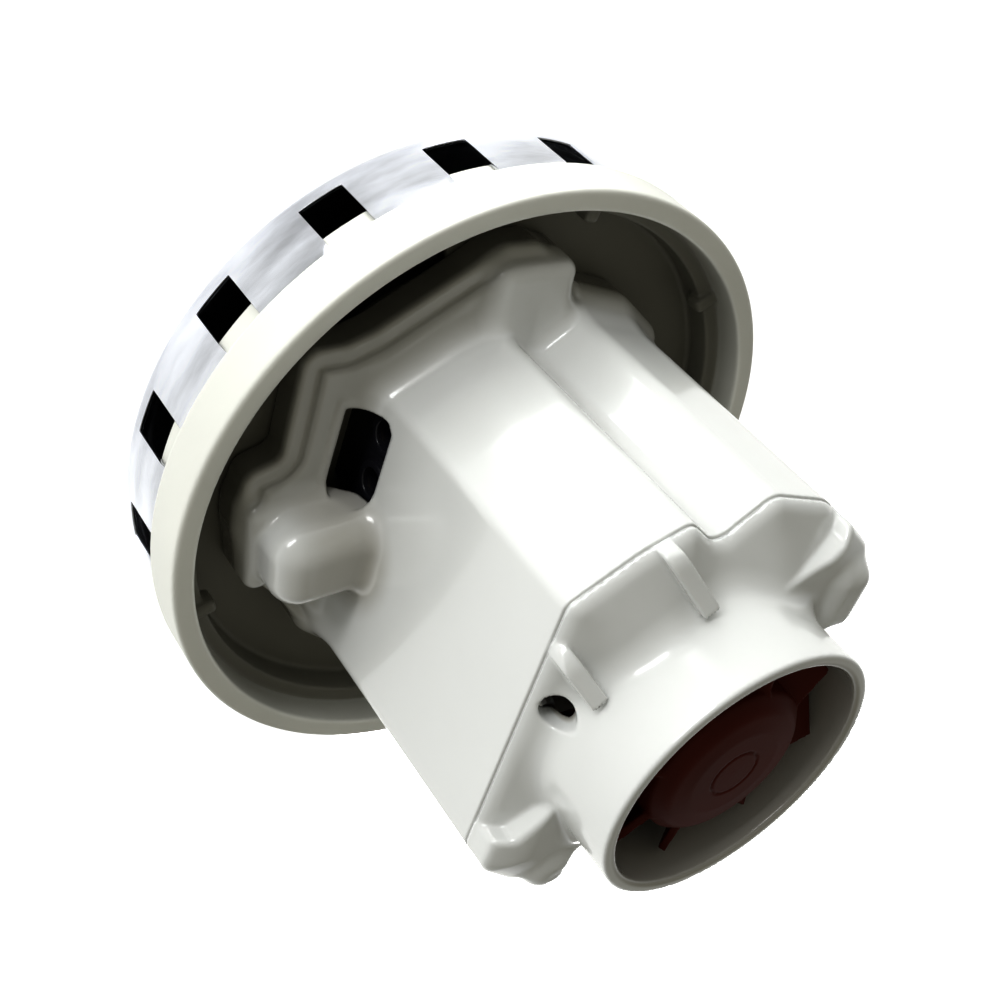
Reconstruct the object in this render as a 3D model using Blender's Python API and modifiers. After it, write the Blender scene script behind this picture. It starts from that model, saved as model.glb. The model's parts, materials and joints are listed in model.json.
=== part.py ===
"""Bypass suction motor of a wet-and-dry vacuum cleaner, as an assembly of its pieces.

Frame: the origin is the centre of the turbine can's flat end face, +Z runs along the
shaft towards the cooling-air collar, and +Y points out of the hood's flat side that
holds the connector. All sizes below are millimetres; a mesh is scaled to metres when
it is made.
"""
import math

import bmesh
import bpy
from mathutils import Matrix, Vector

MM = 0.001
GAP = 0.3                 # running and assembly gap between neighbouring pieces

# Turbine can
CAN_R = 70.0
CAN_WALL = 0.8
CAN_EDGE_R = 5.5
CAN_TOP_Z = 25.4
EYE_R = 23.0
WINDOW_COUNT = 16
WINDOW_WIDTH = 9.8
WINDOW_Z = (6.5, 23.2)
WINDOW_PHASE = 14.5

# Flange housing
FLANGE_R = 72.5
FLANGE_Z = (22.6, 34.0)
RIM_WIDTH = 4.9
LEDGE_R = 64.4
LEDGE_Z = 26.2
FLOOR_Z = 20.0
SPIGOT_R = 68.8
SPIGOT_Z = 17.5
LUG_COUNT = 3                # pairs of lugs
LUG_PHASES = (-50.0, -6.0)

# Hood and cover
WALL = 2.2
HOOD_Z0 = FLOOR_Z + GAP
SHELF_Z = 28.0
FLARE_Z = 38.0
SEAM_Z = 94.0
SHOULDER_Z = 106.0
SHOULDER_R = 8.5
COLLAR_R = 29.8
COLLAR_WALL = 2.7
TOP_Z = 119.0

# Rotor
SHAFT_R = 3.7
SHAFT_Z = (4.6, 113.0)
BEARING_OUTER_R = 11.0
BEARING_INNER_R = 4.0
BEARING_WIDTH = 7.0
LOWER_BEARING_Z = 20.4
UPPER_BEARING_Z = 89.0
CORE_Z = (53.0, 77.0)
CORE_R = 21.0
COMMUTATOR_Z = (29.6, 42.6)
COMMUTATOR_R = 11.5
IMPELLER_R = 61.0
IMPELLER_BLADES = 7
FAN_R = 25.9
FAN_HUB_R = 17.0
FAN_BLADES = 8

# Fasteners and bracket
SCREW_R = 1.6
SCREW_TIP_Z = 26.4
BRIDGE_LEG_Y = 27.8
BRIDGE_SCREW_TIP_Z = 66.0
BORE_R = 21.6
SOCKET_Z = 33.5

# Brush gear
BRUSH_ANGLE = 100.0
BRUSH_Z = 35.5
BRUSH_SIZE = (6.2, 9.0)
BRUSH_R = (COMMUTATOR_R + GAP, 33.0)
HOLDER_WALL = 1.4
HOLDER_R = (14.5, 51.0)
SPRING_R = (BRUSH_R[1] + GAP, 48.6)

FINE = 48                 # steps round the large turned pieces
MEDIUM = 28
COARSE = 16

# Half of the hood's outline, anticlockwise: x, y, corner radius. The other half is the
# same points turned by 180 degrees about the shaft.
HOOD_HALF = [(33.5, -34.1, 5.0), (41.5, -23.0, 12.0), (45.2, -6.5, 5.0), (36.0, 3.5, 3.0),
             (42.0, 11.8, 3.5), (37.3, 21.3, 20.0), (27.9, 34.1, 3.0)]
SHELF_HALF = [(35.5, -35.0, 4.0), (43.5, -23.0, 8.0), (46.5, -9.5, 4.0), (57.6, 4.5, 4.0),
              (57.0, 12.0, 4.0), (39.0, 36.5, 5.0), (36.3, 42.0, 4.0), (35.2, 50.8, 4.0),
              (10.5, 50.0, 3.0), (7.2, 57.2, 4.0), (-6.0, 56.6, 6.0), (-21.0, 48.5, 9.0),
              (-32.5, 36.4, 4.0)]
LOBE = [(-28.0, 33.8, 1.0), (-33.3, 33.8, 4.8), (-41.2, 22.9, 11.0), (-44.7, 7.5, 4.0), (-38.5, 2.0, 2.0),
        (-24.0, 8.0, 1.0), (-12.0, 26.0, 1.0)]
LOBE_TOP_Z = 102.6
STATOR_HALF = [(26.0, -30.6, 2.0), (33.2, -19.0, 2.0), (33.2, 19.0, 2.0), (26.0, 30.6, 2.0)]
BULGE_TOP_Z = 43.8
CLAMP_TOP_Z = 33.0
CLAMP_ANGLE = 6.0
BULGE_SHIFT = 1.0

COLOURS = {
    "can_metal": ((0.82, 0.83, 0.86), 0.22, 1.0),
    "ivory_plastic": ((0.80, 0.81, 0.76), 0.45, 0.0),
    "gloss_white_plastic": ((0.84, 0.86, 0.85), 0.18, 0.0),
    "red_brown_plastic": ((0.16, 0.035, 0.03), 0.35, 0.0),
    "black_plastic": ((0.015, 0.015, 0.02), 0.4, 0.0),
    "seal_rubber": ((0.03, 0.03, 0.03), 0.7, 0.0),
    "shaft_steel": ((0.62, 0.62, 0.64), 0.25, 1.0),
    "bearing_steel": ((0.70, 0.70, 0.72), 0.18, 1.0),
    "lamination_steel": ((0.28, 0.28, 0.30), 0.5, 1.0),
    "zinc_steel": ((0.72, 0.73, 0.74), 0.3, 1.0),
    "aluminium_sheet": ((0.78, 0.79, 0.81), 0.3, 1.0),
    "copper_wire": ((0.72, 0.30, 0.12), 0.35, 1.0),
    "copper_bar": ((0.85, 0.42, 0.22), 0.3, 1.0),
    "brass": ((0.80, 0.62, 0.28), 0.3, 1.0),
    "carbon": ((0.04, 0.04, 0.045), 0.6, 0.0),
    "insulation": ((0.75, 0.70, 0.55), 0.7, 0.0),
    "cage_nylon": ((0.55, 0.50, 0.38), 0.5, 0.0),
    "spring_steel": ((0.60, 0.60, 0.60), 0.3, 1.0),
}


def clear_scene():
    for old in list(bpy.data.objects):
        bpy.data.objects.remove(old, do_unlink=True)


def make_collection(name):
    collection = bpy.data.collections.new(name)
    bpy.context.scene.collection.children.link(collection)
    return collection


def make_material(name):
    colour, roughness, metallic = COLOURS[name]
    made = bpy.data.materials.get(name)
    if made:
        return made
    made = bpy.data.materials.new(name)
    made.use_nodes = True
    shader = made.node_tree.nodes["Principled BSDF"]
    shader.inputs["Base Color"].default_value = (*colour, 1.0)
    shader.inputs["Roughness"].default_value = roughness
    shader.inputs["Metallic"].default_value = metallic
    made.diffuse_color = (*colour, 1.0)
    return made


clear_scene()
PARTS = make_collection("bypass_suction_motor")
TOOLS = make_collection("cutters")


def add_object(name, mesh, finish):
    """Put a mesh in the scene, as a part with a finish, or as a cutter without one."""
    piece = bpy.data.objects.new(name, mesh)
    if finish:
        mesh.materials.append(make_material(finish))
        PARTS.objects.link(piece)
    else:
        piece.hide_render = True
        piece.display_type = "WIRE"
        TOOLS.objects.link(piece)
    return piece


def from_bmesh(name, bm, finish=None):
    bmesh.ops.recalc_face_normals(bm, faces=bm.faces)
    bmesh.ops.scale(bm, vec=(MM, MM, MM), verts=bm.verts)
    mesh = bpy.data.meshes.new(name)
    bm.to_mesh(mesh)
    bm.free()
    mesh.shade_smooth()
    mesh.set_sharp_from_angle(angle=math.radians(35))
    return add_object(name, mesh, finish)


def turned(name, profile, finish=None, steps=MEDIUM, centre=(0, 0), solid=False):
    """Turn a profile of (radius, height) about a vertical axis. A ring's profile closes."""
    mesh = bpy.data.meshes.new(name)
    count = len(profile)
    edges = [(i, i + 1) for i in range(count - 1)]
    if not solid:
        edges.append((count - 1, 0))
    mesh.from_pydata([(r * MM, 0, z * MM) for r, z in profile], edges, [])
    piece = add_object(name, mesh, finish)
    piece.location = (centre[0] * MM, centre[1] * MM, 0)
    screw = piece.modifiers.new("Turn", "SCREW")
    screw.steps = steps
    screw.render_steps = steps
    screw.use_merge_vertices = True
    screw.merge_threshold = 0.00001
    return piece


def ring(r_in, r_out, z0, z1, bevel=0.0):
    """Profile of a ring, down its outer side and up its inner side."""
    if not bevel:
        return [(r_out, z1), (r_out, z0), (r_in, z0), (r_in, z1)]
    b = bevel
    return [(r_out - b, z1), (r_out, z1 - b), (r_out, z0 + b), (r_out - b, z0),
            (r_in + b, z0), (r_in, z0 + b), (r_in, z1 - b), (r_in + b, z1)]


def disc(r, z0, z1, bevel=0.0):
    """Profile of a solid cylinder, from the axis down its outer side to the axis."""
    if not bevel:
        return [(0, z1), (r, z1), (r, z0), (0, z0)]
    return [(0, z1), (r - bevel, z1), (r, z1 - bevel), (r, z0 + bevel), (r - bevel, z0), (0, z0)]


def whole(half):
    return half + [(-x, -y, r) for x, y, r in half]


def inset(corners, distance):
    """Corners of the outline moved inwards by a distance, with radii to match."""
    moved = []
    count = len(corners)
    for i, (x, y, radius) in enumerate(corners):
        here = Vector((x, y))
        before = (here - Vector(corners[i - 1][:2])).normalized()
        after = (Vector(corners[(i + 1) % count][:2]) - here).normalized()
        turn = before.x * after.y - before.y * after.x
        normal = Vector((-before.y, before.x)) + Vector((-after.y, after.x))
        point = here + normal * (distance / (1 + before.dot(after)))
        side = 1 if turn > 0 else -1
        moved.append((point.x, point.y, max(radius - side * distance, 0.4)))
    return moved


def rounded(corners, segments=3):
    """Outline points: each corner becomes an arc of its own radius."""
    points = []
    count = len(corners)
    for i, (x, y, radius) in enumerate(corners):
        here = Vector((x, y))
        before = (Vector(corners[i - 1][:2]) - here).normalized()
        after = (Vector(corners[(i + 1) % count][:2]) - here).normalized()
        half = math.acos(max(-1.0, min(1.0, before.dot(after)))) / 2
        reach = radius / math.tan(half)
        centre = here + (before + after).normalized() * (radius / math.sin(half))
        start = here + before * reach - centre
        end = here + after * reach - centre
        sweep = start.angle_signed(end)
        for step in range(segments + 1):
            turn = Matrix.Rotation(-sweep * step / segments, 2)
            points.append(centre + turn @ start)
    return points


def lofted(name, sections, finish=None):
    """Solid through sections of equally many points: each is (points, height)."""
    bm = bmesh.new()
    rings = []
    for points, z in sections:
        rings.append([bm.verts.new((p[0], p[1], z)) for p in points])
    for lower, upper in zip(rings, rings[1:]):
        for i in range(len(lower)):
            bm.faces.new((lower[i - 1], lower[i], upper[i], upper[i - 1]))
    bm.faces.new(rings[-1])
    bm.faces.new(list(reversed(rings[0])))
    return from_bmesh(name, bm, finish)


def prism(name, corners, z0, z1, finish=None, segments=3):
    outline = rounded(corners, segments)
    return lofted(name, [(outline, z0), (outline, z1)], finish)


def domed(corners, z0, z1, edge, steps=4, segments=3):
    """Sections of a prism whose upper edge is rounded by a radius."""
    sections = [(rounded(corners, segments), z0)]
    for step in range(steps + 1):
        turn = math.pi / 2 * step / steps
        inward = edge * (1 - math.cos(turn))
        sections.append((rounded(inset(corners, inward), segments), z1 - edge + edge * math.sin(turn)))
    return sections


def block(name, size, centre, finish=None, angle=0.0, edge=0.0):
    """Box, turned about Z by an angle in degrees, with optional rounded edges."""
    bm = bmesh.new()
    bmesh.ops.create_cube(bm, size=1)
    bmesh.ops.scale(bm, vec=size, verts=bm.verts)
    place = Matrix.Translation(centre) @ Matrix.Rotation(math.radians(angle), 4, "Z")
    bmesh.ops.transform(bm, matrix=place, verts=bm.verts)
    piece = from_bmesh(name, bm, finish)
    if edge:
        bevel = piece.modifiers.new("Edges", "BEVEL")
        bevel.width = edge * MM
        bevel.segments = 2
    return piece


def rod(name, radius, start, end, finish=None, sides=16):
    """Cylinder between two points."""
    start, end = Vector(start), Vector(end)
    along = end - start
    bm = bmesh.new()
    bmesh.ops.create_cone(bm, cap_ends=True, segments=sides, radius1=radius, radius2=radius,
                          depth=along.length)
    place = Matrix.Translation((start + end) / 2) @ along.to_track_quat("Z", "Y").to_matrix().to_4x4()
    bmesh.ops.transform(bm, matrix=place, verts=bm.verts)
    return from_bmesh(name, bm, finish)


def wire(name, radius, points, finish=None, resolution=2):
    """Round wire along points, with filled ends, made into a closed mesh."""
    curve = bpy.data.curves.new(name, "CURVE")
    curve.dimensions = "3D"
    curve.bevel_depth = radius * MM
    curve.bevel_resolution = resolution
    curve.use_fill_caps = True
    spline = curve.splines.new("POLY")
    spline.points.add(len(points) - 1)
    for point, place in zip(spline.points, points):
        point.co = (place[0] * MM, place[1] * MM, place[2] * MM, 1)
    guide = bpy.data.objects.new(name + "_curve", curve)
    TOOLS.objects.link(guide)
    bpy.context.view_layer.update()
    seen = guide.evaluated_get(bpy.context.evaluated_depsgraph_get())
    mesh = bpy.data.meshes.new_from_object(seen)
    bpy.data.objects.remove(guide)
    bm = bmesh.new()
    bm.from_mesh(mesh)
    bmesh.ops.remove_doubles(bm, verts=bm.verts, dist=0.000001)
    bmesh.ops.recalc_face_normals(bm, faces=bm.faces)
    bm.to_mesh(mesh)
    bm.free()
    mesh.materials.clear()
    return add_object(name, mesh, finish)


def combine(piece, tool, operation):
    boolean = piece.modifiers.new(operation.title(), "BOOLEAN")
    boolean.operation = operation
    boolean.object = tool
    return piece


def cut(piece, *tools):
    for tool in tools:
        combine(piece, tool, "DIFFERENCE")
    return piece


def join(piece, *tools):
    for tool in tools:
        combine(piece, tool, "UNION")
    return piece


def polar(radius, degrees):
    turn = math.radians(degrees)
    return radius * math.cos(turn), radius * math.sin(turn)


def many_blocks(name, size, radius, height, count, phase=0.0, tilt=0.0, finish=None):
    """Equal boxes on a circle, in one mesh: each is turned to face outwards."""
    bm = bmesh.new()
    for i in range(count):
        made = bmesh.ops.create_cube(bm, size=1)["verts"]
        bmesh.ops.scale(bm, vec=size, verts=made)
        spin = Matrix.Rotation(math.radians(phase + 360 * i / count), 4, "Z")
        lean = Matrix.Rotation(math.radians(tilt), 4, "X")
        place = spin @ Matrix.Translation((radius, 0, height)) @ lean
        bmesh.ops.transform(bm, matrix=place, verts=made)
    return from_bmesh(name, bm, finish)


# ---------------------------------------------------------------- turbine and flange

def make_can():
    """Drawn sheet-metal can with an inlet eye and a ring of discharge windows."""
    outer = []
    inner = []
    reach = CAN_R - CAN_EDGE_R
    for step in range(3):
        turn = math.pi / 2 * step / 2
        outer.append((reach + CAN_EDGE_R * math.cos(turn), CAN_EDGE_R * (1 - math.sin(turn))))
        edge = CAN_EDGE_R - CAN_WALL
        inner.append((reach + edge * math.cos(turn), CAN_WALL + edge * (1 - math.sin(turn))))
    lip = [(EYE_R + 2.5, 0), (EYE_R + 0.6, 0.7), (EYE_R, 2.2), (EYE_R + CAN_WALL, 2.6),
           (EYE_R + 1.4, 1.4), (EYE_R + 2.9, CAN_WALL)]
    profile = [(CAN_R, CAN_TOP_Z)] + outer + lip + list(reversed(inner))
    profile.append((CAN_R - CAN_WALL, CAN_TOP_Z))
    can = turned("turbine_can", profile, "can_metal", steps=4 * WINDOW_COUNT)
    depth = WINDOW_Z[1] - WINDOW_Z[0]
    windows = many_blocks("window_cutter", (8, WINDOW_WIDTH, depth), CAN_R, sum(WINDOW_Z) / 2,
                          WINDOW_COUNT, WINDOW_PHASE)
    return cut(can, windows)


def make_inlet_seal():
    """Soft wear ring round the eye, which the impeller's throat runs against."""
    return turned("inlet_seal_ring", ring(EYE_R + 3.0, EYE_R + 8.0, CAN_WALL + GAP, 2.2), "seal_rubber")


def make_flange():
    """Dish with the mounting rim, the can's groove, the lower bearing seat and lugs."""
    rim_in = FLANGE_R - RIM_WIDTH
    groove = (CAN_R - CAN_WALL - GAP, CAN_R + GAP)
    seat_r = BEARING_OUTER_R + GAP
    z0, z1 = FLANGE_Z
    profile = [(FLANGE_R - 0.8, z1), (FLANGE_R, z1 - 0.8), (FLANGE_R, z0 + 0.4), (FLANGE_R - 0.4, z0),
               (groove[1], z0), (groove[1], CAN_TOP_Z + GAP), (groove[0], CAN_TOP_Z + GAP),
               (SPIGOT_R, z0), (SPIGOT_R, SPIGOT_Z), (16.0, SPIGOT_Z), (14.0, SPIGOT_Z + 0.8),
               (8.4, SPIGOT_Z + 0.8), (8.4, LOWER_BEARING_Z - GAP), (seat_r, LOWER_BEARING_Z - GAP),
               (seat_r, LOWER_BEARING_Z + BEARING_WIDTH + 1.0), (14.0, LOWER_BEARING_Z + BEARING_WIDTH + 1.0),
               (14.6, FLOOR_Z), (LEDGE_R - 1.0, FLOOR_Z), (LEDGE_R, FLOOR_Z + 1.0), (LEDGE_R, LEDGE_Z),
               (rim_in - 0.4, LEDGE_Z + 0.4), (rim_in, LEDGE_Z + 1.0), (rim_in, z1 - 0.6),
               (rim_in + 0.6, z1)]
    flange = turned("flange_housing", profile, "ivory_plastic", steps=FINE)
    for phase in LUG_PHASES:
        join(flange, many_blocks(f"lug_tool_{-phase:.0f}", (5.0, 3.2, 4.6), LEDGE_R + 0.6, LEDGE_Z - 0.7,
                                 LUG_COUNT, phase))
    for number, place in enumerate(screw_places()):
        hole = disc(SCREW_R + GAP, SPIGOT_Z - 1, FLOOR_Z + 1)
        cut(flange, turned(f"floor_hole_{number}", hole, None, COARSE, place, True))
    return flange


def make_impeller():
    """Front shroud, and a rear disc whose curved blades rise to meet the shroud."""
    shroud = [(IMPELLER_R, 7.0), (IMPELLER_R, 6.2), (EYE_R + 9.5, 2.9), (EYE_R + 1.6, 2.9),
              (EYE_R + 1.6, 3.7), (EYE_R + 9.3, 3.7)]
    turned("impeller_shroud", shroud, "aluminium_sheet", steps=FINE)
    disc_z = (13.7, 14.6)
    rear = turned("impeller_rear_disc", ring(SHAFT_R + GAP, IMPELLER_R, *disc_z), "aluminium_sheet",
                  steps=FINE)
    bm = bmesh.new()
    stations = 7
    for blade in range(IMPELLER_BLADES):
        walls = []
        for step in range(stations):
            share = step / (stations - 1)
            radius = 25.0 + (IMPELLER_R - 1.0 - 25.0) * share
            angle = 360 * blade / IMPELLER_BLADES + 62 * share ** 0.8
            top = 4.4 + 3.1 * max(0.0, (radius - EYE_R - 9.5) / (IMPELLER_R - EYE_R - 9.5))
            for side in (-0.5, 0.5):
                x, y = polar(radius, angle + math.degrees(side * 0.9 / radius) * 1.4)
                walls.append([bm.verts.new((x, y, z)) for z in (top, disc_z[0] + 0.3)])
        for i in range(0, 2 * stations - 2, 2):
            a, b, c, d = walls[i], walls[i + 1], walls[i + 3], walls[i + 2]
            for first, second in ((a, d), (c, b)):
                bm.faces.new((first[0], first[1], second[1], second[0]))
            bm.faces.new((a[0], d[0], c[0], b[0]))
            bm.faces.new((a[1], b[1], c[1], d[1]))
        for first, second in ((walls[1], walls[0]), (walls[-2], walls[-1])):
            bm.faces.new((first[0], first[1], second[1], second[0]))
    join(rear, from_bmesh("blade_tool", bm))
    turned("impeller_washer", ring(SHAFT_R + GAP, 11.0, 12.0, 13.4), "zinc_steel", COARSE)
    turned("impeller_spacer", ring(SHAFT_R + GAP, 7.4, 14.9, LOWER_BEARING_Z - GAP), "zinc_steel", COARSE)
    nut = turned("impeller_nut", disc(7.2, 6.2, 11.7), "zinc_steel", 6, solid=True)
    cut(nut, turned("nut_bore", disc(SHAFT_R + GAP, 5.0, 13.0), None, COARSE, solid=True))


# ---------------------------------------------------------------- hood and cover

def brush_line(radius, side, height=BRUSH_Z):
    x, y = polar(radius, BRUSH_ANGLE + 180 * side)
    return x, y, height


def bulge_place(radius, side, height):
    """A point on the brush line, moved sideways to the middle of its bulge."""
    x, y, z = brush_line(radius, side, height)
    return x + BULGE_SHIFT * (1 - 2 * side), y, z


def flared(column, distance, z0, z1):
    """Sections of the hood's column, inset by a distance, with its flared foot."""
    levels = [(4.0, z0), (4.0, SHELF_Z), (1.6, SHELF_Z + 4), (0.4, FLARE_Z), (0.0, z1)]
    return [(rounded(inset(column, distance - flare)), z) for flare, z in levels]


def make_hood():
    """Moulded motor hood: column, flared foot, shelf, brush bulges and screw posts."""
    column = whole(HOOD_HALF)
    shelf = whole(SHELF_HALF)
    hood = lofted("motor_hood", domed(shelf, HOOD_Z0, SHELF_Z, 1.6, steps=2), "gloss_white_plastic")
    join(hood, lofted("hood_column_tool", flared(column, 0.0, SHELF_Z - 4, SEAM_Z - GAP / 2)))
    bulge_size = (30.0, 19.0, BULGE_TOP_Z - FLOOR_Z - 2.0)
    for side in (0, 1):
        bulge = block(f"bulge_tool_{side}", bulge_size,
                      bulge_place(39.5, side, BULGE_TOP_Z - bulge_size[2] / 2), None, BRUSH_ANGLE, edge=5.0)
        clamp = block(f"clamp_tool_{side}", (20, 19, CLAMP_TOP_Z - FLOOR_Z - 2),
                      (*polar(45.5, CLAMP_ANGLE + 180 * side), (CLAMP_TOP_Z + FLOOR_Z + 2) / 2), None,
                      CLAMP_ANGLE, edge=3.5)
        join(hood, bulge, clamp)
    cut(hood, prism("hood_shelf_hollow", inset(shelf, WALL), HOOD_Z0 - 1, SHELF_Z - WALL))
    cut(hood, lofted("hood_hollow", flared(column, WALL, HOOD_Z0 - 1, SEAM_Z + 1)))
    for side in (0, 1):
        hollow_top = BULGE_TOP_Z - 2.0
        hollow = block(f"bulge_hollow_{side}", (30, bulge_size[1] - 2 * WALL, hollow_top - FLOOR_Z),
                       bulge_place(37.2, side, (hollow_top + FLOOR_Z) / 2), None, BRUSH_ANGLE)
        cut(hood, hollow)
    for number, place in enumerate(screw_places()):
        post = turned(f"post_tool_{number}", disc(3.9, HOOD_Z0, SHELF_Z - 1.0), None, COARSE, place, True)
        hole = turned(f"post_hole_{number}", disc(SCREW_R + GAP, HOOD_Z0 - 1, SCREW_TIP_Z + GAP), None,
                      COARSE, place, True)
        join(hood, post)
        cut(hood, hole)
    slot = block("connector_slot_cutter", (19.4, 9.6, 9.8), (13.3, 33.6, 32.5))
    return cut(hood, slot)


def make_strap(name, foot, direction):
    """Short curved rib that runs from the seam up to the collar."""
    height = SHOULDER_Z - SEAM_Z + 1.0
    outline = [(-0.8, 1.2, 0.3), (14.0, 1.2, 0.3), (14.0, height, 0.3), (-0.8, height, SHOULDER_R + 0.8)]
    width = 3.4
    strap = prism(name, outline, -width / 2, width / 2, segments=5)
    upright = Matrix.Rotation(math.radians(90), 4, "X")
    spin = Matrix.Rotation(math.radians(direction), 4, "Z")
    strap.matrix_world = Matrix.Translation((foot[0] * MM, foot[1] * MM, SEAM_Z * MM)) @ spin @ upright
    return strap


def flipped(corners, side):
    flip = 1 - 2 * side
    return [(flip * x, flip * y, r) for x, y, r in corners]


def make_cover():
    """End cover: rounded cap, air collar, ribs, two raised lobes with bosses, and vents."""
    column = whole(HOOD_HALF)
    z0 = SEAM_Z + GAP / 2
    bore_r = COLLAR_R - COLLAR_WALL
    cover = lofted("end_cover", domed(column, z0, SHOULDER_Z, SHOULDER_R), "gloss_white_plastic")
    hollow = lofted("cover_hollow", domed(inset(column, WALL), z0 - 1, SHOULDER_Z - WALL, SHOULDER_R - 2))
    for side in (0, 1):
        lobe = domed(flipped(LOBE, side), z0 + 2.0, LOBE_TOP_Z, 2.6, steps=2)
        boss = turned(f"boss_tool_{side}", disc(4.6, z0 + 2.0, LOBE_TOP_Z + 1.4, 0.8), None, COARSE,
                      flipped([(-39.0, 18.5, 0)], side)[0], True)
        join(cover, lofted(f"lobe_tool_{side}", lobe), boss)
    tower = [(0, TOP_Z), (COLLAR_R - 0.4, TOP_Z), (COLLAR_R, TOP_Z - 0.4), (COLLAR_R, SHOULDER_Z + 3),
             (COLLAR_R + 0.6, SHOULDER_Z + 1.2), (COLLAR_R + 1.8, SHOULDER_Z - 0.4),
             (COLLAR_R + 1.8, SHOULDER_Z - 3), (COLLAR_R, SHOULDER_Z - 8), (0, SHOULDER_Z - 8)]
    join(cover, turned("collar_tool", tower, None, FINE, solid=True))
    for side in (0, 1):
        flip = 1 - 2 * side
        for foot in ((19.8, 34.0), (39.2, 18.2)):
            join(cover, make_strap(f"strap_tool_{side}_{foot[0]:.0f}", (flip * foot[0], flip * foot[1]),
                                   221.5 + 180 * side))
    cut(cover, hollow)
    cut(cover, turned("collar_bore_cutter", disc(bore_r, z0 - 1, TOP_Z + 1), None, FINE, solid=True))
    for side in (0, 1):
        flip = 1 - 2 * side
        cut(cover, rod(f"vent_cutter_{side}", 3.4, (flip * 9.4, flip * 25.0, 93.0),
                       (flip * 9.4, flip * 37.0, 107.0)))
    return cover


# ---------------------------------------------------------------- stator side

def make_stator():
    """Two-pole lamination stack, with its field coils in the slots beside the poles."""
    z0, z1 = CORE_Z
    middle = (z0 + z1) / 2
    height = z1 - z0 + 2
    core = prism("stator_core", whole(STATOR_HALF), z0, z1, "lamination_steel")
    cut(core, turned("bore_cutter", disc(BORE_R, z0 - 1, z1 + 1), None, MEDIUM, solid=True))
    slot_y = (12.3, 24.2)
    slot_x = (22.6, 27.6)
    tip_y = 17.5
    for side in (-1, 1):
        gap_size = (2 * slot_x[0] + 2, slot_y[1] - tip_y, height)
        cut(core, block(f"pole_gap_{side}", gap_size, (0, side * (slot_y[1] + tip_y) / 2, middle)))
        for end in (-1, 1):
            size = (slot_x[1] - slot_x[0], slot_y[1] - slot_y[0], height)
            place = (end * sum(slot_x) / 2, side * (sum(slot_y) / 2 + 0.01 * end), middle)
            cut(core, block(f"coil_slot_{side}_{end}", size, place))
        hole = disc(SCREW_R + GAP, BRIDGE_SCREW_TIP_Z - 2, z1 + 1)
        cut(core, turned(f"bridge_hole_{side}", hole, None, COARSE, (0, side * BRIDGE_LEG_Y), True))
    for name, end in (("field_coil_left", -1), ("field_coil_right", 1)):
        make_coil(name, end, (slot_x[0] + 0.4, slot_x[1] - 0.4), (slot_y[0] + 0.5, slot_y[1] - 0.6))


def make_coil(name, end, span_x, span_y):
    """Racetrack coil round one pole, wound about the X axis."""
    middle = sum(CORE_Z) / 2
    half_stack = (CORE_Z[1] - CORE_Z[0]) / 2
    inner = (span_y[0], half_stack + 0.6)
    outer = (span_y[1], half_stack + 7.0)
    upright = Matrix(((0, 0, 1, 0), (1, 0, 0, 0), (0, 1, 0, middle * MM), (0, 0, 0, 1)))
    start = min(end * span_x[0], end * span_x[1])
    finish = max(end * span_x[0], end * span_x[1])
    rings = []
    for half_size, radius, grow in ((outer, 7.0, 0), (inner, 1.2, 1)):
        corners = [(sx * half_size[0], sy * half_size[1], radius)
                   for sx, sy in ((-1, -1), (1, -1), (1, 1), (-1, 1))]
        label = f"{name}_window" if grow else name
        rings.append(prism(label, corners, start - grow, finish + grow, None if grow else "copper_wire"))
        rings[-1].matrix_world = upright
    return cut(*rings)


def make_bridge():
    """Bracket over the armature: upper bearing cup, arms, and legs that stand on the core."""
    cup_r = BEARING_OUTER_R + GAP
    z0 = UPPER_BEARING_Z - GAP
    z1 = UPPER_BEARING_Z + BEARING_WIDTH + 1.2
    cup = [(cup_r + 2.4, z1), (cup_r + 2.4, z0 - 1.5), (6.6, z0 - 1.5), (6.6, z0), (cup_r, z0), (cup_r, z1)]
    bridge = turned("bearing_bridge", cup, "zinc_steel", MEDIUM)
    arm_z = (z0 - 1.0, z0 + 2.4)
    for side, label in ((-1, "back"), (1, "front")):
        reach = BRIDGE_LEG_Y + 2.2
        arm = block(f"arm_tool_{label}", (9.0, reach - cup_r - 0.8, arm_z[1] - arm_z[0]),
                    (0, side * (reach + cup_r + 0.8) / 2, sum(arm_z) / 2))
        leg = block(f"leg_tool_{label}", (8.0, 4.0, arm_z[0] - CORE_Z[1]),
                    (0, side * BRIDGE_LEG_Y, (arm_z[0] + CORE_Z[1]) / 2 + GAP))
        place = (0, side * BRIDGE_LEG_Y)
        hole = turned(f"leg_hole_{label}", disc(SCREW_R + GAP, CORE_Z[1] - 2, arm_z[1] + 2), None,
                      COARSE, place, True)
        join(bridge, arm, leg)
        cut(bridge, hole)
        head_z = arm_z[1] + GAP
        screw = [(0, head_z + 2.2), (2.6, head_z + 2.2), (3.1, head_z + 1.4), (3.1, head_z),
                 (SCREW_R, head_z), (SCREW_R, BRIDGE_SCREW_TIP_Z + 1), (0, BRIDGE_SCREW_TIP_Z)]
        turned(f"bridge_screw_{label}", screw, "zinc_steel", COARSE, place, True)


def screw_places():
    """Feet of the four screws that hold the hood on the flange."""
    places = []
    for side in (0, 1):
        places.append(polar(50.5, 10.0 + 180 * side))
        places.append(polar(53.0, 56.5 + 180 * side))
    return places


def make_hood_screws():
    for number, place in enumerate(screw_places()):
        head_z = SPIGOT_Z - GAP
        profile = [(0, SCREW_TIP_Z), (SCREW_R, SCREW_TIP_Z - 1.2), (SCREW_R, head_z), (3.3, head_z),
                   (3.3, head_z - 1.2), (2.6, head_z - 2.0), (0, head_z - 2.0)]
        turned(f"hood_screw_{number + 1}", profile, "zinc_steel", COARSE, place, True)


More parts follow.
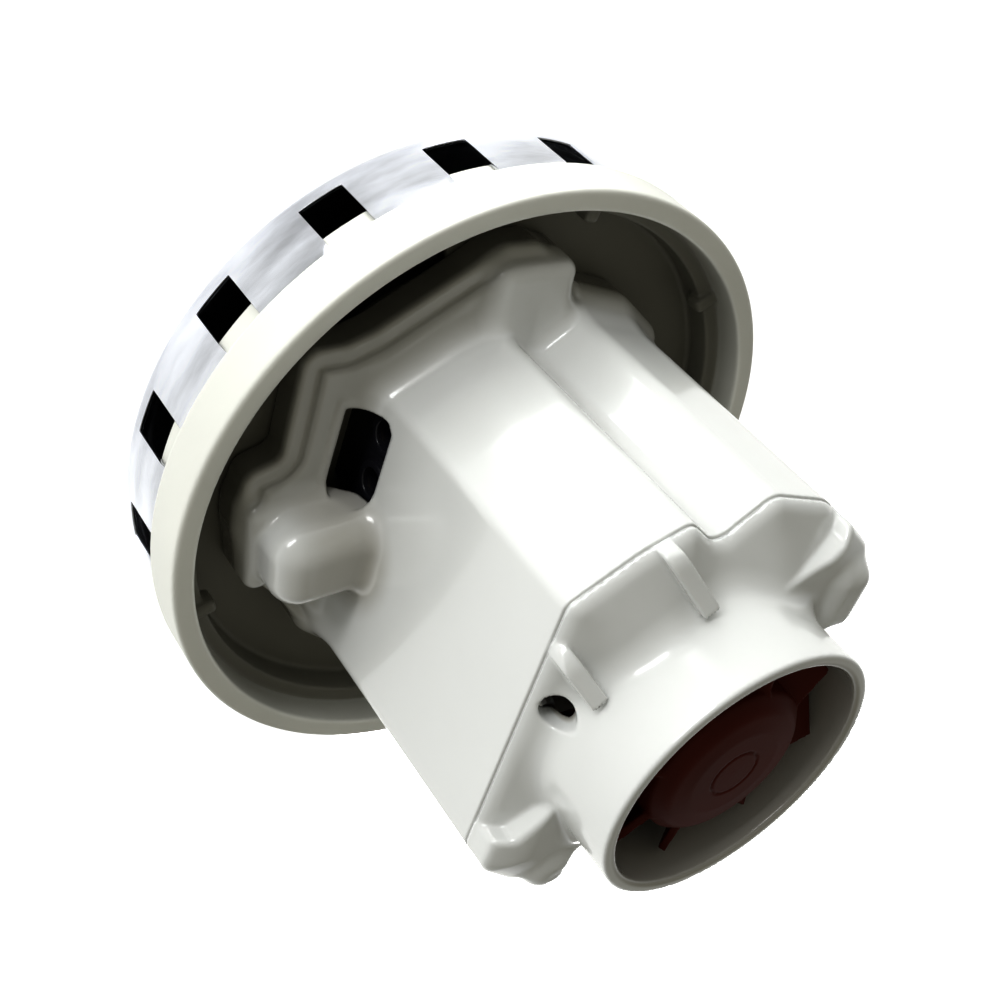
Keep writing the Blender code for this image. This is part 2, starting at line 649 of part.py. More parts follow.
def make_bearing(label, z0):
    """Ball bearing as outer race, inner race and a cage that carries its balls."""
    z1 = z0 + BEARING_WIDTH
    middle = (z0 + z1) / 2
    turned(f"{label}_bearing_outer_race", ring(9.1, BEARING_OUTER_R, z0, z1), "bearing_steel", MEDIUM)
    turned(f"{label}_bearing_inner_race", ring(BEARING_INNER_R, 5.9, z0, z1), "bearing_steel", COARSE + 8)
    cage = turned(f"{label}_ball_cage", ring(6.9, 8.1, middle - 1.7, middle + 1.7), "cage_nylon", COARSE + 8)
    bm = bmesh.new()
    ball_count = 7
    for i in range(ball_count):
        x, y = polar(7.5, 360 * i / ball_count)
        place = Matrix.Translation((x, y, middle))
        bmesh.ops.create_icosphere(bm, subdivisions=1, radius=1.3, matrix=place)
    join(cage, from_bmesh(f"{label}_balls_tool", bm))


def make_brush_gear():
    """Two sets of brush, spring, holder tube and end cap, on one line through the shaft."""
    width, height = BRUSH_SIZE
    for side, label in ((0, "front"), (1, "back")):
        angle = BRUSH_ANGLE + 180 * side
        for_r = sum(BRUSH_R) / 2
        block(f"carbon_brush_{label}", (BRUSH_R[1] - BRUSH_R[0], width, height), brush_line(for_r, side),
              "carbon", angle)
        clear = 2 * GAP
        for_r = sum(HOLDER_R) / 2
        length = HOLDER_R[1] - HOLDER_R[0]
        holder = block(f"brush_holder_{label}", (length, width + clear + 2 * HOLDER_WALL,
                                                 height + clear + 2 * HOLDER_WALL),
                       brush_line(for_r, side), "brass", angle)
        cut(holder, block(f"holder_bore_{label}", (length + 2, width + clear, height + clear),
                          brush_line(for_r, side), None, angle))
        block(f"brush_cap_{label}", (0.6, width + 2.4, height + 2.4), brush_line(HOLDER_R[1] + 0.6, side),
              "black_plastic", angle)
        make_spring(f"brush_spring_{label}", side)


def make_spring(name, side):
    """Coil spring between the brush's tail and the cap."""
    turns = 6
    per_turn = 7
    coil_r = 2.3
    along = Vector(brush_line(1.0, side, 0.0))
    across = Vector((-along.y, along.x, 0.0))
    start = Vector(brush_line(SPRING_R[0] + 0.5, side))
    pitch = (SPRING_R[1] - SPRING_R[0] - 1.0) / (turns * per_turn)
    points = []
    for i in range(turns * per_turn + 1):
        turn = 2 * math.pi * i / per_turn
        offset = across * math.cos(turn) * coil_r + Vector((0, 0, 1)) * math.sin(turn) * coil_r
        points.append(start + along * pitch * i + offset)
    wire(name, 0.4, points, "spring_steel", 1)


def make_connector():
    """Two-way socket block behind the hood's slot, its pins, and the leads to the coils."""
    x_span = (1.6, 24.4)
    y_span = (19.6, 31.5)
    z_span = (HOOD_Z0 + 0.1, 40.6)
    size = [span[1] - span[0] for span in (x_span, y_span, z_span)]
    centre = [sum(span) / 2 for span in (x_span, y_span, z_span)]
    body = block("connector_block", size, centre, "black_plastic")
    for number, x in enumerate((7.4, 18.8)):
        cut(body, rod(f"socket_cutter_{number}", 3.0, (x, 24.0, SOCKET_Z), (x, 33.0, SOCKET_Z)))
        cut(body, rod(f"pin_hole_{number}", 1.3, (x, 18.0, SOCKET_Z), (x, 25.0, SOCKET_Z), sides=8))
        rod(f"connector_pin_{number + 1}", 1.0, (x, 19.4, SOCKET_Z), (x, 29.5, SOCKET_Z), "brass", 8)
    routes = {
        "coil_lead_right": [(18.8, 18.2, SOCKET_Z), (18.9, 17.0, 34.0), (19.2, 16.0, 36.0),
                            (19.8, 15.3, 39.0), (20.8, 15.0, 43.0), (21.6, 15.0, 46.5)],
        "coil_lead_left": [(7.4, 18.2, SOCKET_Z), (7.3, 17.3, 34.5), (6.6, 17.3, 38.0), (4.4, 17.4, 41.5),
                           (0.0, 17.8, 43.6), (-6.0, 17.8, 44.0), (-12.0, 17.0, 44.2),
                           (-17.0, 15.8, 44.6), (-20.4, 14.8, 45.8), (-21.6, 14.4, 48.0)],
    }
    for name, route in routes.items():
        wire(name, 0.8, route, "insulation")


# ---------------------------------------------------------------- rotor

def make_rotor():
    """Shaft, armature, commutator and cooling fan."""
    low, high = SHAFT_Z
    shaft = [(0, high), (SHAFT_R - 0.6, high), (SHAFT_R, high - 0.6), (SHAFT_R, low + 0.6),
             (SHAFT_R - 0.6, low), (0, low)]
    turned("shaft", shaft, "shaft_steel", COARSE + 8, solid=True)
    z0, z1 = CORE_Z
    core = turned("armature_core", ring(SHAFT_R + GAP, CORE_R, z0, z1), "lamination_steel", 44)
    cut(core, many_blocks("armature_slots", (6.0, 2.0, z1 - z0 + 2), CORE_R, (z0 + z1) / 2, 11, 5.0))
    for label, start, end in (("lower", z0 - 7.0, z0 - GAP), ("upper", z1 + GAP, z1 + 7.2)):
        turned(f"armature_winding_{label}", ring(SHAFT_R + 2.6, 18.4, start, end, 2.4), "copper_wire",
               MEDIUM)
        turned(f"armature_collar_{label}", ring(SHAFT_R + GAP, SHAFT_R + 2.3, start, end), "insulation",
               COARSE)
    z0, z1 = COMMUTATOR_Z
    turned("commutator_hub", ring(SHAFT_R + GAP, 7.7, z0 + 0.4, z1 + 1.5), "black_plastic", COARSE + 8)
    bars = [(COMMUTATOR_R + 1.4, z1), (COMMUTATOR_R + 1.4, z1 - 1.6), (COMMUTATOR_R, z1 - 1.6),
            (COMMUTATOR_R, z0), (8.0, z0), (8.0, z1)]
    bar_ring = turned("commutator_bars", bars, "copper_bar", 44)
    cut(bar_ring, many_blocks("bar_slots", (2.0, 0.5, z1 - z0 - 3), COMMUTATOR_R, (z0 + z1) / 2 - 1, 22))
    make_fan()


def make_fan():
    """Cooling fan: domed hub over the shaft's end, with broad pitched blades."""
    hub = [(0, 117.6), (8.0, 117.3), (13.0, 116.2), (15.8, 114.2), (FAN_HUB_R, 111.5),
           (FAN_HUB_R, 105.4), (FAN_HUB_R - 1.6, 105.4), (FAN_HUB_R - 1.6, 111.3), (14.2, 113.2),
           (6.6, 115.4), (6.6, 103.6), (SHAFT_R + GAP, 103.6), (SHAFT_R + GAP, 113.6), (0, 113.6)]
    fan = turned("cooling_fan", hub, "red_brown_plastic", MEDIUM, solid=True)
    blade = (FAN_R - 0.9 - FAN_HUB_R + 0.9, 13.0, 1.6)
    radius = FAN_HUB_R - 0.9 + blade[0] / 2
    return join(fan, many_blocks("fan_blades_tool", blade, radius, 109.6, FAN_BLADES, 9.0, -32.0))


make_can()
make_inlet_seal()
make_flange()
make_impeller()
make_hood()
make_cover()
make_hood_screws()
make_stator()
make_bridge()
make_bearing("lower", LOWER_BEARING_Z)
make_bearing("upper", UPPER_BEARING_Z)
make_brush_gear()
make_connector()
make_rotor()
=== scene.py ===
"""Looks for the bypass suction motor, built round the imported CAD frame.

Lengths are millimetres until a mesh is made, and then metres. The moulded pieces are
distance fields turned into meshes, so that every wall meets the next in a real fillet.
"""
import copy
import json
import math

import bpy
import numpy as np
from mathutils import Matrix, Vector


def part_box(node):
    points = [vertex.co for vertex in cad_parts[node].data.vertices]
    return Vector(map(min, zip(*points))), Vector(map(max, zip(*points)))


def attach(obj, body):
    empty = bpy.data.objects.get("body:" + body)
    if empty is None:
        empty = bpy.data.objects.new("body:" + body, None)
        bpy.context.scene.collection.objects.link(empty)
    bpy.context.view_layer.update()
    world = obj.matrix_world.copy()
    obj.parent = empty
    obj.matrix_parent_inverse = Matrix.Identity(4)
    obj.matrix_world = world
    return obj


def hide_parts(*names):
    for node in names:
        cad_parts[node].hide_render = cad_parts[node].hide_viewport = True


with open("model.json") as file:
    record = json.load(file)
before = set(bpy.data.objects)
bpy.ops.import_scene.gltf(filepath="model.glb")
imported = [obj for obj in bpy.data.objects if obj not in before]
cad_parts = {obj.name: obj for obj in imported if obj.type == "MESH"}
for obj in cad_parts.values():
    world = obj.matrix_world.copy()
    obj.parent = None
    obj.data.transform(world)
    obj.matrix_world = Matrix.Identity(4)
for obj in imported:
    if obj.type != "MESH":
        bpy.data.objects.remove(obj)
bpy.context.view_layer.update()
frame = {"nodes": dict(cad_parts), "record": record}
MM = 0.001
STEP = 0.55       # cell of the moulded pieces' meshes
COVER_STEP = STEP * 0.85
FAN_STEP = STEP * 0.7
SOCKET_STEP = STEP * 0.5


def box_mm(node):
    low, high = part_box(node)
    return low * 1000, high * 1000


RING_HIGH = box_mm("flange_housing")[1]
HOOD_LOW, HOOD_HIGH = box_mm("motor_hood")
COVER_LOW, COVER_HIGH = box_mm("end_cover")

CAN_R = box_mm("turbine_can")[1].x
CAN_EDGE_R = 5.5                     # rounding between the can's end and its wall
CAN_SHEET = 0.8
EYE_R = 23.0
WINDOWS = 16
WINDOW_WIDTH = 9.8
WINDOW_PHASE = 14.5
DENT_DEPTH = 1.9
DENT_REACH = 8.0                     # degrees from the window's edge
DENT_DROP = 8.4
DENT_FADE = 5.5

RING_R = RING_HIGH.x
RIM_Z = RING_HIGH.z
RING_Z0 = 22.6
FLOOR_Z = 20.0
UNDERSIDE_Z = 17.5
SKIRT_R = 67.2
SKIRT_Z = 14.0                       # foot of the flange's skirt; its mesh ends 1 mm above this
LEDGE_R = 64.4
LEDGE_Z = 26.2
LUG_HALF = (2.9, 1.7, 2.4)
POCKET_R = 57.2
POCKET_WIDTH = 11.2
POCKET_ANGLE = 42.0
POCKET_SPREAD = 21.0                 # degrees to each side
POCKET_Z = 15.9
POCKET_ARC_R = 57.0                  # turns degrees along the pocket into millimetres

WALL = 2.2
HOOD_Z0 = HOOD_LOW.z
HOOD_Z1 = HOOD_HIGH.z
SHELF_Z = 28.0
DECK_INSET = 3.6
DECK_Z = SHELF_Z + 1.8
FOOT_FILLET = 9.0                    # between the column and the shelf
BRUSH_ANGLE = 100.0
BRUSH_R = 39.5
BULGE_FOOT_Z = 28.0
BULGE_TOP_Z = 43.8
CLAMP_ANGLE = 6.0
CLAMP_R = 45.5
CLAMP_FOOT_Z = 22.0
CLAMP_TOP_Z = 33.0
CURB_CENTRE, CURB_HALF = (13.9, 36.6, 24.0), (12.0, 5.7, 6.4)
SLOT_CENTRE, SLOT_HALF = (13.9, 33.6, 29.8), (10.0, 6.9, 7.8)
SLOT_CHAMFER = 1.6

TONGUE_INSET, TONGUE_THICK = 0.5, 0.9

COVER_Z0 = COVER_LOW.z
TOP_Z = COVER_HIGH.z
SHOULDER_FOOT_Z = 95.4               # slope of the cover's top, carried out to the outline
SHOULDER_RISE = 0.6
SHOULDER_EDGE = 2.4
COLLAR_R = 29.8
COLLAR_FOOT_Z = 80.0                 # inside the cover, where the collar starts
BORE_R = 27.1
LOBE_TOP = (103.6, 100.2)            # near the collar and at the outline
LOBE_FALL = 8.0                      # distance over which it comes down
BOSS_CENTRE, BOSS_R, BOSS_Z = (-36.6, 18.2), 5.4, 104.6
PAD_CENTRE, PAD_HALF = (24.0, -28.5, 95.5), (8.0, 5.6, 10.0)
RIB_ANGLE = 41.5
RIB_HALF_WIDTH = 1.7
RIB_FOOT_Z = 98.5
RIBS = [(19.8, 34.0, 0.72, 9.1), (39.2, 18.2, 0.52, 12.5)]      # x, y, rise, length
VENT_CENTRE, VENT_AXIS = (6.0, 30.1, 98.2), (0.55, 0.835)
VENT_R = 3.3
VENT_TUBE_R = 5.3

FAN_BLADES = 8
FAN_R = 25.9
FAN_TOP_Z = 117.6
FAN_BORE_Z = 113.6                   # end of the shaft's hole
BLADE_Z = 109.6
BLADE_PHASE = 9.0
BLADE_PITCH = 32.0
BLADE_MID_R = 21.0
BLADE_ROOT_R = 15.5
BLADE_TWIST = 0.02                   # radians in each millimetre along the blade
BLADE_CAMBER = 0.012

HOOD_HALF = [(33.5, -34.1, 5.0), (41.5, -23.0, 12.0), (45.2, -6.5, 5.0), (36.0, 3.5, 4.2),
             (42.0, 11.8, 3.5), (37.3, 21.3, 20.0), (27.9, 34.1, 3.0)]
SHELF_HALF = [(35.5, -35.0, 4.0), (43.5, -23.0, 8.0), (46.5, -9.5, 4.0), (57.6, 4.5, 4.0),
              (57.0, 12.0, 4.0), (39.0, 36.5, 5.0), (36.3, 42.0, 4.0), (35.2, 50.8, 4.0),
              (10.5, 50.0, 3.0), (7.2, 57.2, 4.0), (-6.0, 56.6, 6.0), (-21.0, 48.5, 9.0),
              (-32.5, 36.4, 4.0)]


# ---------------------------------------------------------------- distance fields

def smin(a, b, k):
    h = np.maximum(k - np.abs(a - b), 0) / k
    return np.minimum(a, b) - h * h * k / 4


def smax(a, b, k):
    return -smin(-a, -b, k)


def rounded_points(corners, segments=10):
    """Points of a closed outline whose corners (x, y, radius) are arcs."""
    points = []
    count = len(corners)
    for i, (x, y, radius) in enumerate(corners):
        here = Vector((x, y))
        before = (Vector(corners[i - 1][:2]) - here).normalized()
        after = (Vector(corners[(i + 1) % count][:2]) - here).normalized()
        half = math.acos(max(-1.0, min(1.0, before.dot(after)))) / 2
        if radius <= 0:
            points.append(here)
            continue
        centre = here + (before + after).normalized() * (radius / math.sin(half))
        start = here + before * radius / math.tan(half) - centre
        end = here + after * radius / math.tan(half) - centre
        sweep = start.angle_signed(end)
        for step in range(segments + 1):
            points.append(centre + Matrix.Rotation(-sweep * step / segments, 2) @ start)
    return np.array([(p.x, p.y) for p in points])


class Outline:
    """Signed distance to a rounded outline, read from a fine grid."""

    def __init__(self, corners, margin=12.0, cell=0.35):
        points = rounded_points(corners)
        self.low = points.min(0) - margin
        size = np.ceil((points.max(0) + margin - self.low) / cell).astype(int) + 1
        self.cell = cell
        x = (self.low[0] + cell * np.arange(size[0]))[:, None, None]
        y = (self.low[1] + cell * np.arange(size[1]))[None, :, None]
        best = np.full((size[0], size[1]), 1e9)
        inside = np.zeros((size[0], size[1]), bool)
        for first, second in zip(points, np.roll(points, -1, 0)):
            ex, ey = second - first
            px, py = x[:, :, 0] - first[0], y[:, :, 0] - first[1]
            share = np.clip((px * ex + py * ey) / max(ex * ex + ey * ey, 1e-12), 0, 1)
            best = np.minimum(best, (px - ex * share) ** 2 + (py - ey * share) ** 2)
            if abs(ey) > 1e-12:
                crosses = (first[1] > y[:, :, 0]) != (second[1] > y[:, :, 0])
                inside ^= crosses & (px < ex * py / ey)
        self.grid = (np.sqrt(best) * np.where(inside, -1, 1)).astype(np.float32)

    def __call__(self, x, y):
        x, y = np.broadcast_arrays(x, y)
        u = np.clip((x - self.low[0]) / self.cell, 0, self.grid.shape[0] - 1.001)
        v = np.clip((y - self.low[1]) / self.cell, 0, self.grid.shape[1] - 1.001)
        i, j = u.astype(np.int32), v.astype(np.int32)
        u, v = u - i, v - j
        g = self.grid
        return ((g[i, j] * (1 - u) + g[i + 1, j] * u) * (1 - v)
                + (g[i, j + 1] * (1 - u) + g[i + 1, j + 1] * u) * v)


def slab(flat, z, z0, z1, edge):
    """Extrusion of a flat field between two heights, with rounded edges."""
    a = flat + edge
    b = np.abs(z - (z0 + z1) / 2) - (z1 - z0) / 2 + edge
    return np.minimum(np.maximum(a, b), 0) + np.hypot(np.maximum(a, 0), np.maximum(b, 0)) - edge


def brick(x, y, z, centre, half, edge, turn=0.0):
    """Rounded box, turned about Z by degrees."""
    c, s = math.cos(math.radians(turn)), math.sin(math.radians(turn))
    dx, dy, dz = x - centre[0], y - centre[1], z - centre[2]
    a = np.abs(dx * c + dy * s) - half[0] + edge
    b = np.abs(dy * c - dx * s) - half[1] + edge
    d = np.abs(dz) - half[2] + edge
    outside = np.sqrt(np.maximum(a, 0) ** 2 + np.maximum(b, 0) ** 2 + np.maximum(d, 0) ** 2)
    return outside + np.minimum(np.maximum(np.maximum(a, b), d), 0) - edge


def both(shape, x, y, z):
    """A shape and its copy turned by 180 degrees about the shaft."""
    return np.minimum(shape(x, y, z), shape(-x, -y, z))


def polar(radius, degrees):
    turn = math.radians(degrees)
    return radius * math.cos(turn), radius * math.sin(turn)


def net(field, low, high, step):
    """Vertices and quads where a field is zero: one vertex in each cell that it crosses."""
    axes = [np.arange(lo, hi + step, step) for lo, hi in zip(low, high)]
    shape = tuple(len(a) for a in axes)
    values = np.broadcast_to(field(axes[0][:, None, None], axes[1][None, :, None],
                                   axes[2][None, None, :]), shape).astype(np.float32)
    inside = values < 0
    cells = tuple(n - 1 for n in shape)
    count = np.zeros(cells, np.int8)
    for a in (0, 1):
        for b in (0, 1):
            for c in (0, 1):
                count += inside[a:a + cells[0], b:b + cells[1], c:c + cells[2]]
    where = np.argwhere((count > 0) & (count < 8))
    ids = np.full(cells, -1, np.int32)
    ids[tuple(where.T)] = np.arange(len(where))
    total = np.zeros((len(where), 3))
    hits = np.zeros(len(where))
    for axis in range(3):
        others = [n for n in range(3) if n != axis]
        for a in (0, 1):
            for b in (0, 1):
                start = where.copy()
                start[:, others[0]] += a
                start[:, others[1]] += b
                end = start.copy()
                end[:, axis] += 1
                f0, f1 = values[tuple(start.T)], values[tuple(end.T)]
                crossed = (f0 < 0) != (f1 < 0)
                share = np.where(crossed, f0 / np.where(crossed, f0 - f1, 1), 0)
                point = start.astype(float)
                point[:, axis] += share
                total += point * crossed[:, None]
                hits += crossed
    points = np.array([a[0] for a in axes]) + total / hits[:, None] * step
    faces = []
    for axis in range(3):
        lower = [slice(None)] * 3
        upper = [slice(None)] * 3
        lower[axis], upper[axis] = slice(0, -1), slice(1, None)
        one, two = inside[tuple(lower)], inside[tuple(upper)]
        for flip in (False, True):
            edge = np.argwhere((one & ~two) if flip else (~one & two))
            p, q = (axis + 1) % 3, (axis + 2) % 3
            edge = edge[(edge[:, p] > 0) & (edge[:, q] > 0)
                        & (edge[:, p] < cells[p]) & (edge[:, q] < cells[q])]
            ring = []
            for dp, dq in ((-1, -1), (0, -1), (0, 0), (-1, 0)):
                cell = edge.copy()
                cell[:, p] += dp
                cell[:, q] += dq
                ring.append(ids[tuple(cell.T)])
            quad = np.stack(ring if flip else ring[::-1], 1)
            faces.append(quad)
    return points, np.concatenate(faces)


def settle(field, points, rounds=2, reach=0.4):
    """Moves points onto the zero of the field along its slope."""
    points = points.copy()
    probe = 0.04
    for _ in range(rounds):
        x, y, z = points.T
        here = field(x, y, z)
        slope = np.stack([field(x + probe, y, z) - here, field(x, y + probe, z) - here,
                          field(x, y, z + probe) - here], 1) / probe
        size = np.maximum((slope ** 2).sum(1), 0.2)
        move = -slope * (here / size)[:, None]
        length = np.linalg.norm(move, axis=1, keepdims=True)
        points += move * np.minimum(1, reach / np.maximum(length, 1e-9))
    return points


def object_from(name, points, faces, smooth=True):
    """Mesh object from arrays of points in millimetres and of quads."""
    mesh = bpy.data.meshes.new(name)
    points = np.ascontiguousarray(points * MM, np.float32)
    faces = np.ascontiguousarray(faces, np.int32)
    mesh.vertices.add(len(points))
    mesh.vertices.foreach_set("co", points.ravel())
    mesh.loops.add(faces.size)
    mesh.loops.foreach_set("vertex_index", faces.ravel())
    mesh.polygons.add(len(faces))
    mesh.polygons.foreach_set("loop_start", np.arange(0, faces.size, 4, dtype=np.int32))
    mesh.update(calc_edges=True)
    mesh.validate()
    if smooth:
        mesh.shade_smooth()
    made = bpy.data.objects.new(name, mesh)
    bpy.context.scene.collection.objects.link(made)
    return made


def moulded(name, field, low, high, step=STEP):
    points, faces = net(field, low, high, step)
    return object_from(name, settle(field, points), faces)


# ---------------------------------------------------------------- hood

def full_turn(half):
    """An outline's corners from one half of them and the same turned by 180 degrees."""
    return half + [(-x, -y, radius) for x, y, radius in half]


COLUMN = Outline(full_turn(HOOD_HALF))
SHELF = Outline(full_turn(SHELF_HALF))


def hood_outside(x, y, z):
    """Skin of the hood, without its lower and upper ends."""
    column = COLUMN(x, y) + 0 * z
    shelf_flat = SHELF(x, y)
    lip = slab(shelf_flat, z, 0.0, SHELF_Z, 0.9)
    deck = slab(shelf_flat + DECK_INSET, z, 0.0, DECK_Z, 1.2)
    shape = smin(lip, deck, 0.6)
    shape = smin(shape, column, FOOT_FILLET)

    def bulge(x, y, z):
        cx, cy = polar(BRUSH_R, BRUSH_ANGLE)
        half = (15.0, 9.5, BULGE_TOP_Z - BULGE_FOOT_Z)
        body = brick(x, y, z, (cx + 1.0, cy, BULGE_FOOT_Z), half, 6.5, BRUSH_ANGLE)
        step = brick(x, y, z, (cx + 0.6, cy + 1.2, 22.0), (15.5, 10.6, 10.5), 2.5, BRUSH_ANGLE)
        return smin(body, step, 1.5)

    def clamp(x, y, z):
        cx, cy = polar(CLAMP_R, CLAMP_ANGLE)
        half = (10.0, 9.5, CLAMP_TOP_Z - CLAMP_FOOT_Z)
        return brick(x, y, z, (cx, cy, CLAMP_FOOT_Z), half, 3.0, CLAMP_ANGLE)

    shape = smin(shape, both(bulge, x, y, z), 4.0)
    shape = smin(shape, both(clamp, x, y, z), 4.0)
    curb = brick(x, y, z, CURB_CENTRE, CURB_HALF, 0.5)
    return smin(shape, curb, 0.6)


def hood_field(x, y, z):
    """Hollow hood with the connector's slot."""
    outside = hood_outside(x, y, z)
    shell = smax(outside, -(outside + WALL), 0.6)
    shell = smax(shell, HOOD_Z0 - z, 0.6)
    shell = smax(shell, z - HOOD_Z1, 0.2)
    slot = brick(x, y, z, SLOT_CENTRE, SLOT_HALF, 0.3)
    corner_x = SLOT_CENTRE[0] + SLOT_HALF[0] + 0.1
    corner_z = SLOT_CENTRE[2] + SLOT_HALF[2]
    chamfer = ((x - corner_x) + (z - corner_z)) / math.sqrt(2) + SLOT_CHAMFER
    slot = smax(slot, chamfer, 0.3)
    return smax(shell, -slot, 0.3)


# ---------------------------------------------------------------- cover

LOBE = Outline([(-26.4, 36.5, 0.5), (-24.9, 30.4, 2.0), (-17.0, 26.2, 3.0), (-8.0, 24.0, 1.0),
                (-14.0, 2.0, 1.0), (-30.1, 9.4, 2.0), (-33.6, 15.2, 8.0), (-37.0, 23.2, 3.0),
                (-42.5, 27.2, 0.5), (-46.0, 38.0, 1.0)], margin=40.0)


def softened(outline, reach):
    """The outline's own distance at its edge, blurred farther in so that creases go."""
    soft = copy.copy(outline)
    span = 2.5 * reach
    half = int(span / outline.cell)
    bell = np.exp(-0.5 * (np.arange(-half, half + 1) * outline.cell / reach) ** 2)
    bell /= bell.sum()
    blurred = np.pad(outline.grid.astype(float), half, mode="edge")
    blurred = np.apply_along_axis(np.convolve, 0, blurred, bell, mode="valid")
    blurred = np.apply_along_axis(np.convolve, 1, blurred, bell, mode="valid")
    share = np.clip(-outline.grid / span, 0, 1)
    share = share * share * (3 - 2 * share)
    soft.grid = (outline.grid * (1 - share) + blurred * share).astype(np.float32)
    return soft


SOFT_COLUMN = softened(COLUMN, 2.6)


def shoulder(x, y, z, inset):
    """Column closed by a gentle slope up to the collar."""
    across = SOFT_COLUMN(x, y)
    slope = (z - SHOULDER_FOOT_Z + SHOULDER_RISE * across) / math.hypot(1, SHOULDER_RISE)
    return smax(COLUMN(x, y) + inset, slope + inset, SHOULDER_EDGE)


def cover_outside(x, y, z):
    """Skin of the cover: slope, collar, two lobes, and a bump beside each."""
    shape = shoulder(x, y, z, 0.0)
    collar = slab(np.hypot(x, y) - COLLAR_R, z, COLLAR_FOOT_Z, TOP_Z, 0.7)
    shape = smin(shape, collar, 4.0)

    def lobe(x, y, z):
        column = COLUMN(x, y)
        drop = np.clip((column + LOBE_FALL) / LOBE_FALL, 0, 1) ** 1.6
        top = LOBE_TOP[0] + (LOBE_TOP[1] - LOBE_TOP[0]) * drop
        flat = smax(LOBE(x, y), column + 0.05, 1.0)
        return smax(flat, z - top, 1.2)

    shape = smin(shape, both(lobe, x, y, z), 0.7)
    away = np.hypot(x - BOSS_CENTRE[0], y - BOSS_CENTRE[1])
    boss = slab(away - BOSS_R, z, COLLAR_FOOT_Z, BOSS_Z, 4.2)
    shape = smin(shape, smax(boss, COLUMN(x, y) + 0.3, 2.0), 2.5)
    pad = brick(x, y, z, PAD_CENTRE, PAD_HALF, 4.0)
    return smin(shape, smax(pad, COLUMN(x, y) + 0.2, 2.0), 2.5)


def ribs(x, y, z):
    """Two slim ribs from the seam up towards the collar, cut square at their ends."""
    best = None
    turn = math.radians(RIB_ANGLE)
    c, s = math.cos(turn), math.sin(turn)
    for foot_x, foot_y, rise, length in RIBS:
        inward = -((x - foot_x) * c + (y - foot_y) * s)
        across = (y - foot_y) * c - (x - foot_x) * s
        top = (z - RIB_FOOT_Z - rise * inward) / math.hypot(1, rise)
        outline = smax(-0.1 - inward + 0 * z, top, 3.0)
        rib = smax(smax(outline, np.abs(across) - RIB_HALF_WIDTH, 0.5), inward - length, 0.5)
        rib = smax(rib, COLUMN(x, y) - 0.05, 0.5)
        best = rib if best is None else np.minimum(best, rib)
    return best


def vent(radius, reach):
    """Round vent through the shoulder, or the tube round it."""
    def shape(x, y, z):
        dx, dy, dz = x - VENT_CENTRE[0], y - VENT_CENTRE[1], z - VENT_CENTRE[2]
        along = dy * VENT_AXIS[0] + dz * VENT_AXIS[1]
        across = np.sqrt(np.maximum(dx * dx + dy * dy + dz * dz - along * along, 0))
        return np.maximum(across - radius, np.abs(along) - reach)
    return shape


def cover_field(x, y, z):
    """Hollow cover, open at the collar, with a vent on each side."""
    shape = smin(cover_outside(x, y, z), both(ribs, x, y, z), 0.5)
    tube = both(vent(VENT_TUBE_R, 5.0), x, y, z)
    cavity = np.maximum(shoulder(x, y, z, WALL), -tube)
    shape = smax(shape, -cavity, 0.6)
    shape = smax(shape, BORE_R - np.hypot(x, y), 0.9)
    shape = smax(shape, COVER_Z0 - z, 0.2)
    return smax(shape, -both(vent(VENT_R, 9.0), x, y, z), 0.5)


# ---------------------------------------------------------------- flange

RING_PROFILE = [(RING_R, RIM_Z, 0.9), (RING_R, RING_Z0, 0.5), (CAN_R + 0.3, RING_Z0, 0.2),
                (CAN_R + 0.3, 25.8, 0.2), (CAN_R - 1.1, 25.8, 0.2), (SKIRT_R + 1.6, SKIRT_Z, 0.3),
                (SKIRT_R, SKIRT_Z, 0.3), (SKIRT_R, UNDERSIDE_Z, 0.3), (16.0, UNDERSIDE_Z, 0.3),
                (14.0, 18.3, 0.3), (8.4, 18.3, 0.2), (8.4, 20.1, 0.1), (11.3, 20.1, 0.1),
                (11.3, 28.4, 0.2), (14.0, 28.4, 0.4), (14.6, FLOOR_Z, 0.8),
                (LEDGE_R - 0.4, FLOOR_Z, 1.0), (LEDGE_R, LEDGE_Z, 0.5),
                (RING_R - 4.9, LEDGE_Z + 0.5, 0.8), (RING_R - 4.7, RIM_Z, 0.9)]
RING_FLAT = Outline(RING_PROFILE, margin=3.0, cell=0.2)
LUG_ANGLES = [base + 120 * n for base in (-50.0, -6.0) for n in range(3)]


def ring_field(x, y, z):
    """Flange with its dish, the lugs on the ledge and the deep pocket."""
    radius = np.hypot(x, y)
    angle = np.degrees(np.arctan2(y, x))
    shape = RING_FLAT(radius + 0 * z, z + 0 * radius)
    for lug_angle in LUG_ANGLES:
        cx, cy = polar(LEDGE_R + 0.8, lug_angle)
        lug = brick(x, y, z, (cx, cy, LEDGE_Z - 0.6), LUG_HALF, 1.0, lug_angle)
        shape = smin(shape, lug, 0.8)
    away = np.abs((angle - POCKET_ANGLE + 180) % 360 - 180)
    round_it = (away - POCKET_SPREAD) * math.radians(1) * POCKET_ARC_R
    pocket = np.maximum(np.abs(radius - POCKET_R) - POCKET_WIDTH / 2, round_it)
    pocket = slab(pocket, z, POCKET_Z, 24.0, 0.5)
    skin = slab(pocket + 0 * z - 0.8, z, POCKET_Z - 0.7, 19.0, 0.2)
    return smax(np.minimum(shape, np.maximum(skin, z - 18.5)), -pocket, 0.4)


# ---------------------------------------------------------------- fan

